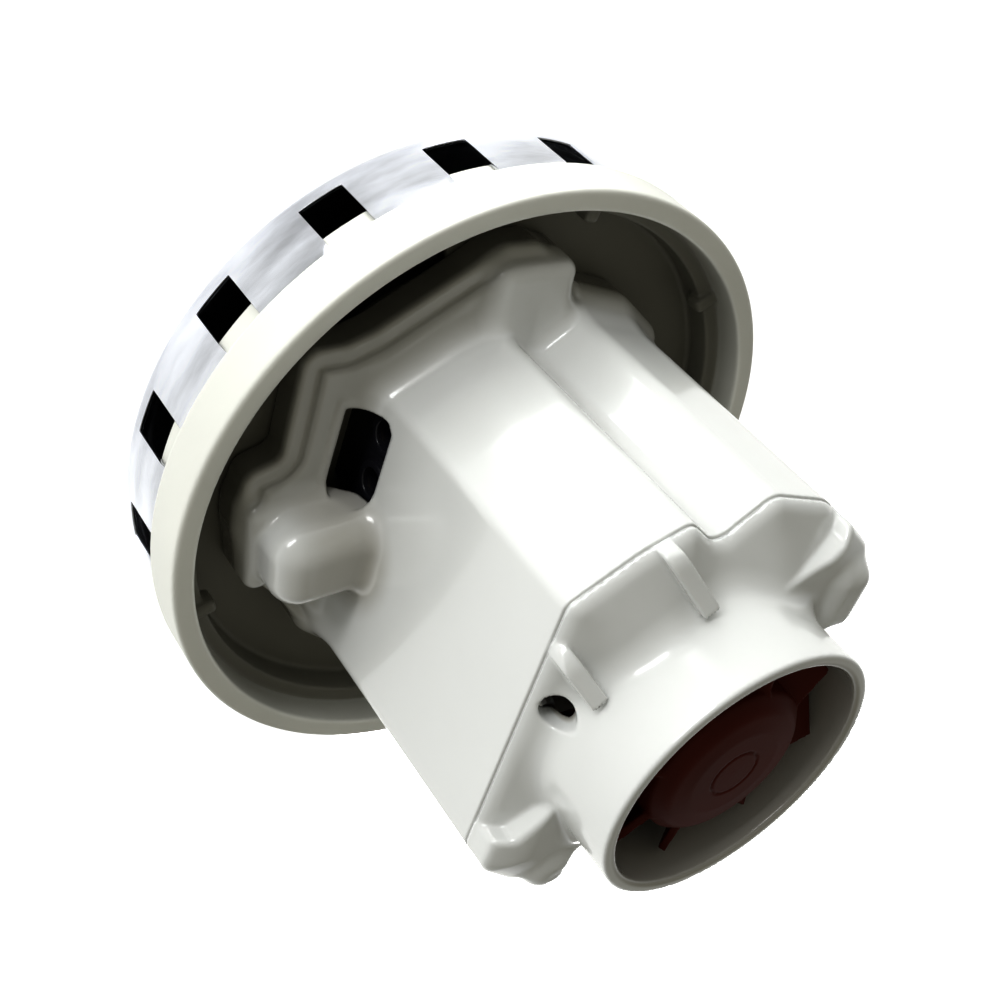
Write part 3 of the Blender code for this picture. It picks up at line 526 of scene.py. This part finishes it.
HUB_PROFILE = [(0.0, FAN_TOP_Z, 0.0), (10.0, 117.5, 6.0), (14.6, 116.9, 3.0), (17.0, 114.6, 1.5),
               (17.0, 105.4, 0.4), (15.4, 105.4, 0.3), (15.2, 113.4, 1.5), (6.6, 115.4, 1.0),
               (6.6, 103.6, 0.3), (4.0, 103.6, 0.2), (4.0, FAN_BORE_Z, 0.1), (0.0, FAN_BORE_Z, 0.0)]
HUB_FLAT = Outline(HUB_PROFILE, margin=2.0, cell=0.15)


def fan_field(x, y, z):
    """Hub with a ring groove on top, and pitched blades."""
    radius = np.hypot(x, y)
    hub = HUB_FLAT(radius + 0 * z, z + 0 * radius)
    middle = np.maximum(np.maximum(z - FAN_TOP_Z, FAN_BORE_Z - z), -3.0)
    hub = np.where(radius + 0 * z < 1.0, middle, hub)
    groove = np.maximum(np.abs(radius - 5.2) - 0.25, FAN_TOP_Z - 0.4 - z)
    best = smax(hub, -groove, 0.2)
    for number in range(FAN_BLADES):
        turn = math.radians(BLADE_PHASE + 360 * number / FAN_BLADES)
        c, s = math.cos(turn), math.sin(turn)
        along, across = x * c + y * s, y * c - x * s
        pitch = (along - BLADE_MID_R) * BLADE_TWIST - math.radians(BLADE_PITCH)
        height = z - BLADE_Z
        normal = height * np.cos(pitch) - across * np.sin(pitch)
        chord = across * np.cos(pitch) + height * np.sin(pitch)
        normal = normal - BLADE_CAMBER * chord * chord + 0.3
        blade = np.maximum(np.abs(normal) - 0.75, np.abs(chord) - 7.0)
        blade = smax(blade, np.maximum(BLADE_ROOT_R - along, radius - FAN_R), 0.5)
        best = smin(best, blade, 0.8)
    return best


# ---------------------------------------------------------------- turbine can

CAN_WALL_Z = [6.5, 8.5, 10.5, 12.5, 14.0, 15.5, 17.0, 18.5, 20.0, 21.5, 23.2, 24.3, 25.4]


def can_profile():
    """Half section of the sheet: eye, end face, rounded corner and wall."""
    profile = [(EYE_R, 3.0), (EYE_R, 2.2), (EYE_R + 0.25, 1.2), (EYE_R + 0.9, 0.45)]
    profile.append((EYE_R + 2.5, 0.0))
    profile += [(r, 0.0) for r in (29.0, 34.0, 34.6, 41.0, 48.0, 55.0, 60.0)]
    for step in range(9):
        turn = math.pi / 2 * step / 8
        profile.append((CAN_R - CAN_EDGE_R + CAN_EDGE_R * math.sin(turn),
                        CAN_EDGE_R * (1 - math.cos(turn))))
    return profile + [(CAN_R, z) for z in CAN_WALL_Z]


def dent_depth(local, z):
    """Pressed dent beside a window, deepest at the window and at the top."""
    reach = max(0.0, 1 - local / DENT_REACH)
    rise = min(1.0, max(0.0, (z - CAN_WALL_Z[-1] + DENT_DROP * reach) / DENT_FADE))
    return DENT_DEPTH * reach ** 1.2 * rise * rise * (3 - 2 * rise)


def make_can():
    """Drawn can as a sheet with windows and a pressed dent beside each, then thickened."""
    pitch = 360 / WINDOWS
    half_window = math.degrees(WINDOW_WIDTH / 2 / CAN_R)
    per_window = 24
    per_open = 14
    per_wall = per_window - per_open
    profile = can_profile()
    angles = []
    for window in range(WINDOWS):
        centre = WINDOW_PHASE + pitch * window
        for i in range(per_open):
            angles.append(centre - half_window + 2 * half_window * i / per_open)
        for i in range(per_wall):
            angles.append(centre + half_window + (pitch - 2 * half_window) * i / per_wall)
    points = []
    for angle in angles:
        local = (angle - WINDOW_PHASE) % pitch - half_window
        for radius, z in profile:
            dented = radius > CAN_R - 0.1 and local > -0.01
            depth = dent_depth(local, z) if dented else 0.0
            points.append((*polar(radius - depth, angle), z))
    rows = len(profile)
    first_open = rows - len(CAN_WALL_Z)
    last_open = rows - 3
    faces = []
    for a in range(len(angles)):
        b = (a + 1) % len(angles)
        for i in range(rows - 1):
            if a % per_window < per_open and first_open <= i < last_open:
                continue
            faces.append((a * rows + i, b * rows + i, b * rows + i + 1, a * rows + i + 1))
    can = object_from("turbine_can_shell", np.array(points), np.array(faces))
    bpy.context.view_layer.update()
    thick = can.modifiers.new("Sheet", "SOLIDIFY")
    thick.thickness = CAN_SHEET * MM
    thick.offset = -1
    bevel = can.modifiers.new("Edges", "BEVEL")
    bevel.width = 0.12 * MM
    bevel.segments = 2
    bevel.limit_method = "ANGLE"
    bevel.angle_limit = math.radians(60)
    return can


# ---------------------------------------------------------------- connector

SOCKET_GROW = (2.0, 0.0, 1.5)        # past the CAD block; its mesh ends 1.4 mm past it in x
SOCKET_R = 3.7
SOCKET_Y = (25.6, 32.4)


def connector_field(x, y, z):
    """Block with two round sockets, each round its pin."""
    low, high = box_mm("connector_block")
    centre = [(a + b) / 2 for a, b in zip(low, high)]
    half = [(b - a) / 2 + grow for a, b, grow in zip(low, high, SOCKET_GROW)]
    shape = brick(x, y, z, centre, half, 0.6)
    middle = sum(SOCKET_Y) / 2
    for number in (1, 2):
        pin_low, pin_high = box_mm(f"connector_pin_{number}")
        px, pz = (pin_low.x + pin_high.x) / 2, (pin_low.z + pin_high.z) / 2
        away = np.hypot(x - px, z - pz)
        reach = np.abs(y - middle) - (middle - SOCKET_Y[0])
        tube = np.maximum(np.abs(away - SOCKET_R) - 0.75, reach)
        shape = smin(shape, tube, 0.3)
        shape = smax(shape, -np.maximum(away - SOCKET_R + 0.75, 24.0 - y), 0.3)
        shape = smax(shape, -np.maximum(away - 1.3, y - 25.0), 0.2)
    return shape


# ---------------------------------------------------------------- materials

def material(name, colour, roughness, metallic=0.0, bump=0.02, scale=900.0, vary=0.03, coat=0.0,
             rough_vary=0.06, streak=None, specular=0.5, shade=None):
    """Principled finish with colour, roughness and height from noise in object space."""
    made = bpy.data.materials.new(name)
    made.use_nodes = True
    nodes, links = made.node_tree.nodes, made.node_tree.links
    shader = nodes["Principled BSDF"]
    shader.inputs["Metallic"].default_value = metallic
    shader.inputs["Coat Weight"].default_value = coat
    shader.inputs["Coat Roughness"].default_value = 0.05
    shader.inputs["Specular IOR Level"].default_value = specular
    place = nodes.new("ShaderNodeTexCoord")
    fine = nodes.new("ShaderNodeTexNoise")
    fine.inputs["Scale"].default_value = scale
    fine.inputs["Detail"].default_value = 4.0
    broad = nodes.new("ShaderNodeTexNoise")
    broad.inputs["Scale"].default_value = 45.0
    broad.inputs["Detail"].default_value = 5.0
    source = place.outputs["Object"]
    if streak:
        squeeze = nodes.new("ShaderNodeMapping")
        squeeze.inputs["Scale"].default_value = streak
        links.new(source, squeeze.inputs["Vector"])
        source = squeeze.outputs["Vector"]
    links.new(source, fine.inputs["Vector"])
    links.new(source, broad.inputs["Vector"])
    ramp = nodes.new("ShaderNodeValToRGB")
    ramp.color_ramp.elements[0].position = 0.3
    ramp.color_ramp.elements[1].position = 0.7
    ramp.color_ramp.elements[0].color = (*[c * (1 - vary) for c in colour], 1)
    ramp.color_ramp.elements[1].color = (*[min(1, c * (1 + vary)) for c in colour], 1)
    links.new(broad.outputs["Fac"], ramp.inputs["Fac"])
    tint = ramp.outputs["Color"]
    # shade, when given, mixes painted shade into the colour
    if shade:
        tint = shade(nodes, links, place, tint)
    links.new(tint, shader.inputs["Base Color"])
    rough = nodes.new("ShaderNodeMapRange")
    rough.inputs["To Min"].default_value = max(0.02, roughness - rough_vary)
    rough.inputs["To Max"].default_value = roughness + rough_vary
    links.new(broad.outputs["Fac"], rough.inputs["Value"])
    links.new(rough.outputs["Result"], shader.inputs["Roughness"])
    relief = nodes.new("ShaderNodeBump")
    relief.inputs["Strength"].default_value = bump
    relief.inputs["Distance"].default_value = 0.0002
    links.new(fine.outputs["Fac"], relief.inputs["Height"])
    links.new(relief.outputs["Normal"], shader.inputs["Normal"])
    return made


# Colours of painted shade: the dish, the pocket's bottom, the hood's foot, the brush bulges, the
# lip's side, the collar's bore.
DISH_PAINTED_SHADE = (0.17, 0.165, 0.135)
POCKET_PAINTED_SHADE = (0.02, 0.02, 0.018)
FOOT_PAINTED_SHADE = (0.45, 0.445, 0.41)
BULGE_PAINTED_SHADE = (0.47, 0.46, 0.42)
LIP_PAINTED_SHADE = (0.15, 0.145, 0.12)
BORE_PAINTED_SHADE = (0.42, 0.41, 0.37)


def mixed(nodes, links, factor, first, second):
    """Colour that goes from a socket's to a fixed one as a factor rises."""
    mix = nodes.new("ShaderNodeMix")
    mix.data_type = "RGBA"
    links.new(factor, mix.inputs["Factor"])
    links.new(first, mix.inputs["A"])
    mix.inputs["B"].default_value = (*second, 1)
    return mix.outputs["Result"]


def fade(nodes, links, value, start, end):
    """Zero at one distance in millimetres and one at the other."""
    ramp = nodes.new("ShaderNodeMapRange")
    ramp.interpolation_type = "SMOOTHSTEP"
    ramp.inputs["From Min"].default_value = start * MM
    ramp.inputs["From Max"].default_value = end * MM
    links.new(value, ramp.inputs["Value"])
    return ramp.outputs["Result"]


def from_axis(nodes, links, place):
    """Distance from the shaft's axis."""
    flat = nodes.new("ShaderNodeVectorMath")
    flat.operation = "MULTIPLY"
    flat.inputs[1].default_value = (1, 1, 0)
    links.new(place.outputs["Object"], flat.inputs[0])
    length = nodes.new("ShaderNodeVectorMath")
    length.operation = "LENGTH"
    links.new(flat.outputs["Vector"], length.inputs[0])
    return length.outputs["Value"]


def height(nodes, links, place):
    """Height above the can's end."""
    parts = nodes.new("ShaderNodeSeparateXYZ")
    links.new(place.outputs["Object"], parts.inputs["Vector"])
    return parts.outputs["Z"]


def product(nodes, links, first, second):
    multiply = nodes.new("ShaderNodeMath")
    multiply.operation = "MULTIPLY"
    links.new(first, multiply.inputs[0])
    links.new(second, multiply.inputs[1])
    return multiply.outputs[0]


def paint_dish_shade(nodes, links, place, tint):
    """Painted shade inside the rim, darkest at the bottom of the pocket."""
    inside = fade(nodes, links, from_axis(nodes, links, place), SKIRT_R + 1.0, SKIRT_R)
    tint = mixed(nodes, links, inside, tint, DISH_PAINTED_SHADE)
    # painted near-black shade at the bottom of the pocket
    low = fade(nodes, links, height(nodes, links, place), 19.6, 18.2)
    return mixed(nodes, links, product(nodes, links, inside, low), tint, POCKET_PAINTED_SHADE)


def paint_foot_shade(nodes, links, place, tint):
    """Painted shade on the foot of the hood, round the brush bulges and in the collar."""
    up = height(nodes, links, place)
    # painted shade on the hood's foot, low down inside the dish
    tint = mixed(nodes, links, fade(nodes, links, up, 36.0, 26.5), tint, FOOT_PAINTED_SHADE)
    # painted shade round the foot of each brush bulge
    for x, y in (polar(BRUSH_R, BRUSH_ANGLE), polar(BRUSH_R, BRUSH_ANGLE + 180)):
        away = nodes.new("ShaderNodeVectorMath")
        away.operation = "DISTANCE"
        away.inputs[1].default_value = (x * MM, y * MM, 36.0 * MM)
        links.new(place.outputs["Object"], away.inputs[0])
        near = fade(nodes, links, away.outputs["Value"], 17.0, 9.0)
        tint = mixed(nodes, links, near, tint, BULGE_PAINTED_SHADE)
    # painted shade on the side wall of the shelf's lip
    tint = mixed(nodes, links, fade(nodes, links, up, 27.4, 25.4), tint, LIP_PAINTED_SHADE)
    # painted shade on the inner wall of the collar's bore
    bore = fade(nodes, links, from_axis(nodes, links, place), BORE_R + 1.4, BORE_R + 0.6)
    above = fade(nodes, links, up, COVER_Z0 - 4.0, COVER_Z0)
    return mixed(nodes, links, product(nodes, links, bore, above), tint, BORE_PAINTED_SHADE)


FINISHES = {
    "can_metal": material(
        "can_metal_look", (0.60, 0.61, 0.65), roughness=0.20, metallic=1.0, bump=0.45, scale=130,
        vary=0.45, rough_vary=0.09, streak=(0.6, 0.6, 2.2)),
    # The ivory carries painted shade inside the dish.
    "ivory_plastic": material(
        "ivory_plastic_look", (0.76, 0.765, 0.715), roughness=0.42, bump=0.06, scale=1500,
        vary=0.02, shade=paint_dish_shade),
    # The gloss white carries painted shade on the hood's foot and in the collar's bore.
    "gloss_white_plastic": material(
        "gloss_white_look", (0.72, 0.73, 0.72), roughness=0.19, bump=0.015, scale=500,
        vary=0.012, coat=0.5, shade=paint_foot_shade),
    "red_brown_plastic": material(
        "red_brown_look", (0.10, 0.015, 0.009), roughness=0.45, bump=0.08, scale=1200, vary=0.15,
        specular=0.10),
    "black_plastic": material(
        "black_plastic_look", (0.012, 0.012, 0.016), roughness=0.24, bump=0.06, scale=1500,
        vary=0.2),
    "seal_rubber": material(
        "seal_rubber_look", (0.025, 0.025, 0.025), roughness=0.7, bump=0.2, scale=1800, vary=0.2),
    "shaft_steel": material(
        "shaft_steel_look", (0.60, 0.60, 0.62), roughness=0.22, metallic=1.0, bump=0.05,
        scale=700, vary=0.06, streak=(1, 1, 30)),
    "bearing_steel": material(
        "bearing_steel_look", (0.68, 0.68, 0.70), roughness=0.16, metallic=1.0, bump=0.03,
        scale=700, vary=0.04),
    "lamination_steel": material(
        "lamination_look", (0.24, 0.24, 0.26), roughness=0.5, metallic=1.0, bump=0.5, scale=160,
        vary=0.2, streak=(0.05, 0.05, 12)),
    "zinc_steel": material(
        "zinc_steel_look", (0.66, 0.67, 0.67), roughness=0.3, metallic=1.0, bump=0.08, scale=500,
        vary=0.08),
    "aluminium_sheet": material(
        "aluminium_look", (0.30, 0.31, 0.33), roughness=0.45, metallic=1.0, bump=0.1, scale=400,
        vary=0.08),
    "copper_wire": material(
        "copper_wire_look", (0.62, 0.22, 0.08), roughness=0.3, metallic=1.0, bump=0.6, scale=250,
        vary=0.15, streak=(1, 1, 9)),
    "copper_bar": material(
        "copper_bar_look", (0.80, 0.38, 0.20), roughness=0.3, metallic=1.0, bump=0.1, scale=600,
        vary=0.12),
    "brass": material(
        "brass_look", (0.78, 0.60, 0.26), roughness=0.28, metallic=1.0, bump=0.05, scale=600,
        vary=0.08),
    "carbon": material(
        "carbon_look", (0.035, 0.035, 0.04), roughness=0.6, bump=0.3, scale=1800, vary=0.3),
    "insulation": material(
        "insulation_look", (0.72, 0.66, 0.48), roughness=0.7, bump=0.2, scale=900, vary=0.08),
    "cage_nylon": material(
        "cage_nylon_look", (0.52, 0.47, 0.34), roughness=0.5, bump=0.1, scale=900, vary=0.08),
    "spring_steel": material(
        "spring_steel_look", (0.58, 0.58, 0.58), roughness=0.28, metallic=1.0, bump=0.05,
        scale=900, vary=0.06),
}


def dress(piece, slot):
    piece.data.materials.clear()
    piece.data.materials.append(FINISHES[slot])


def place(piece, slot, body, *nodes):
    dress(piece, slot)
    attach(piece, body)
    if nodes:
        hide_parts(*nodes)
    return piece


def band(name, outline, inset, thick, z0, z1):
    """Closed strip that follows an outline, between two heights."""
    points = rounded_points(outline, 8)
    ahead, behind = np.roll(points, -1, 0), np.roll(points, 1, 0)
    along = ahead - behind
    along /= np.linalg.norm(along, axis=1, keepdims=True)
    inward = np.stack([-along[:, 1], along[:, 0]], 1)
    rows = []
    for away, z in ((inset, z0), (inset, z1), (inset + thick, z1), (inset + thick, z0)):
        rows.append(np.column_stack([points + inward * away, np.full(len(points), z)]))
    count = len(points)
    faces = []
    for i in range(count):
        j = (i + 1) % count
        for row in range(4):
            other = (row + 1) % 4
            faces.append((row * count + i, row * count + j, other * count + j, other * count + i))
    return object_from(name, np.concatenate(rows), np.array(faces), smooth=False)


def around(node, extra=1.5):
    """Box that is sampled for a shape. The flange's skirt and the ends of the socket block
    reach past theirs, so those two meshes are open there.
    """
    low, high = box_mm(node)
    return [v - extra for v in low], [v + extra for v in high]


for entry in frame["record"]["subparts"]:
    dress(frame["nodes"][entry["node"]], entry["material_slot"])

place(make_can(), "can_metal", "housing", "turbine_can")
place(moulded("flange_ring", ring_field, *around("flange_housing", 2.5)),
      "ivory_plastic", "housing", "flange_housing")
place(moulded("motor_hood_shell", hood_field, *around("motor_hood")),
      "gloss_white_plastic", "housing", "motor_hood")
place(moulded("end_cover_shell", cover_field, *around("end_cover"), COVER_STEP),
      "gloss_white_plastic", "housing", "end_cover")
place(band("joint_tongue", full_turn(HOOD_HALF), TONGUE_INSET, TONGUE_THICK,
           HOOD_Z1 - 1.0, COVER_Z0 + 0.3),
      "gloss_white_plastic", "housing")
place(moulded("cooling_fan_moulding", fan_field, *around("cooling_fan"), FAN_STEP),
      "red_brown_plastic", "rotor", "cooling_fan")
place(moulded("socket_block", connector_field, *around("connector_block"), SOCKET_STEP),
      "black_plastic", "housing", "connector_block")


# ---------------------------------------------------------------- stage, light, camera

CAMERA_TARGET = Vector((0.00047, -0.00044, 0.03698))
CAMERA_DISTANCE = 0.2996
CAMERA_TURN = 47.31                  # degrees from +X towards +Y
CAMERA_RISE = 35.94                  # degrees above the floor
CAMERA_ROLL = 138.83                 # degrees about its own line of sight
CAMERA_LENS, CAMERA_SENSOR = 50.16, 36.0

FLOOR_HALF = 8.0
FLOOR_GLOW = 0.93
GLOW_GAIN = 7.0
GLOW_SOFT = 0.008
# Centre x and y, half sizes along and across, turn in degrees.
GLOW_SPOTS = [(0.165, 0.052, 0.070, 0.018, 17.5), (-0.165, -0.052, 0.070, 0.018, 17.5)]

HORIZON = (0.86, 0.87, 0.87, 1)
LOW_SKY = (0.54, 0.55, 0.54, 1)
ZENITH = (0.26, 0.25, 0.21, 1)

# Name, turn, rise, distance, size and power.
SOFTBOXES = [("key_softbox", 45, 8, 0.8, (0.45, 0.14), 2.3),
             ("back_softbox", 225, 5, 0.8, (0.45, 0.12), 0.8)]
VIEW_GAMMA = 0.8


def direction(turn, rise):
    a, e = math.radians(turn), math.radians(rise)
    return Vector((math.cos(e) * math.cos(a), math.cos(e) * math.sin(a), math.sin(e)))


def make_camera():
    data = bpy.data.cameras.new("camera")
    data.lens = CAMERA_LENS
    data.sensor_width = CAMERA_SENSOR
    data.clip_start = 0.01
    camera = bpy.data.objects.new("camera", data)
    bpy.context.scene.collection.objects.link(camera)
    back = direction(CAMERA_TURN, CAMERA_RISE)
    right = (-back).cross(Vector((0, 0, 1))).normalized()
    up = right.cross(-back).normalized()
    roll = math.radians(CAMERA_ROLL)
    side = right * math.cos(roll) + up * math.sin(roll)
    top = back.cross(side)
    spot = CAMERA_TARGET + back * CAMERA_DISTANCE
    camera.matrix_world = Matrix(((side.x, top.x, back.x, spot.x), (side.y, top.y, back.y, spot.y),
                                  (side.z, top.z, back.z, spot.z), (0, 0, 0, 1)))
    bpy.context.scene.camera = camera


def box_mask(nodes, links, place, spot, soft):
    """One inside a turned rectangle on the floor, fading to zero round it."""
    x, y, half_x, half_y, turn = spot
    move = nodes.new("ShaderNodeMapping")
    move.vector_type = "TEXTURE"
    move.inputs["Location"].default_value = (x, y, 0)
    move.inputs["Rotation"].default_value = (0, 0, math.radians(turn))
    links.new(place, move.inputs["Vector"])
    parts = nodes.new("ShaderNodeSeparateXYZ")
    links.new(move.outputs["Vector"], parts.inputs["Vector"])
    sides = []
    for axis, half in (("X", half_x), ("Y", half_y)):
        size = nodes.new("ShaderNodeMath")
        size.operation = "ABSOLUTE"
        links.new(parts.outputs[axis], size.inputs[0])
        edge = nodes.new("ShaderNodeMapRange")
        edge.inputs["From Min"].default_value = half + soft
        edge.inputs["From Max"].default_value = half
        links.new(size.outputs[0], edge.inputs["Value"])
        sides.append(edge)
    both_sides = nodes.new("ShaderNodeMath")
    both_sides.operation = "MULTIPLY"
    links.new(sides[0].outputs["Result"], both_sides.inputs[0])
    links.new(sides[1].outputs["Result"], both_sides.inputs[1])
    return both_sides.outputs[0]


def make_floor():
    """Pale floor that glows, more in soft rectangles, which the glossy walls mirror."""
    mesh = bpy.data.meshes.new("floor")
    half = FLOOR_HALF
    mesh.from_pydata([(-half, -half, 0), (half, -half, 0), (half, half, 0), (-half, half, 0)], [],
                     [(0, 1, 2, 3)])
    floor = bpy.data.objects.new("floor", mesh)
    bpy.context.scene.collection.objects.link(floor)
    floor.location.z = -0.0004
    made = bpy.data.materials.new("floor_look")
    made.use_nodes = True
    nodes, links = made.node_tree.nodes, made.node_tree.links
    shader = nodes["Principled BSDF"]
    shader.inputs["Base Color"].default_value = (0.9, 0.9, 0.9, 1)
    shader.inputs["Roughness"].default_value = 0.9
    shader.inputs["Emission Color"].default_value = (0.985, 1.0, 0.995, 1)
    place_node = nodes.new("ShaderNodeTexCoord")
    glow = None
    for spot in GLOW_SPOTS:
        mask = box_mask(nodes, links, place_node.outputs["Object"], spot, GLOW_SOFT)
        gain = nodes.new("ShaderNodeMath")
        gain.operation = "MULTIPLY_ADD"
        gain.inputs[1].default_value = GLOW_GAIN
        gain.inputs[2].default_value = FLOOR_GLOW
        links.new(mask, gain.inputs[0])
        if glow is not None:
            links.new(glow, gain.inputs[2])
        glow = gain.outputs[0]
    links.new(glow, shader.inputs["Emission Strength"])
    mesh.materials.append(made)


def make_sky():
    """Studio walls bright near the floor and dark overhead."""
    world = bpy.data.worlds.new("studio")
    world.use_nodes = True
    nodes, links = world.node_tree.nodes, world.node_tree.links
    place_node = nodes.new("ShaderNodeTexCoord")
    parts = nodes.new("ShaderNodeSeparateXYZ")
    links.new(place_node.outputs["Generated"], parts.inputs["Vector"])
    ramp = nodes.new("ShaderNodeValToRGB")
    ramp.color_ramp.interpolation = "EASE"
    ramp.color_ramp.elements[0].position = 0.0
    ramp.color_ramp.elements[0].color = HORIZON
    ramp.color_ramp.elements[1].position = 0.5
    ramp.color_ramp.elements[1].color = ZENITH
    ramp.color_ramp.elements.new(0.18).color = LOW_SKY
    links.new(parts.outputs["Z"], ramp.inputs["Fac"])
    links.new(ramp.outputs["Color"], nodes["Background"].inputs["Color"])
    bpy.context.scene.world = world


def make_softbox(name, turn, rise, distance, size, power):
    data = bpy.data.lights.new(name, "AREA")
    data.shape = "RECTANGLE"
    data.size, data.size_y = size
    data.energy = power
    light = bpy.data.objects.new(name, data)
    bpy.context.scene.collection.objects.link(light)
    light.location = direction(turn, rise) * distance
    light.rotation_euler = (-light.location).to_track_quat("-Z", "Y").to_euler()


def make_stage():
    make_floor()
    make_sky()
    for softbox in SOFTBOXES:
        make_softbox(*softbox)
    bpy.context.scene.view_settings.view_transform = "Standard"
    bpy.context.scene.view_settings.gamma = VIEW_GAMMA


make_camera()
make_stage()
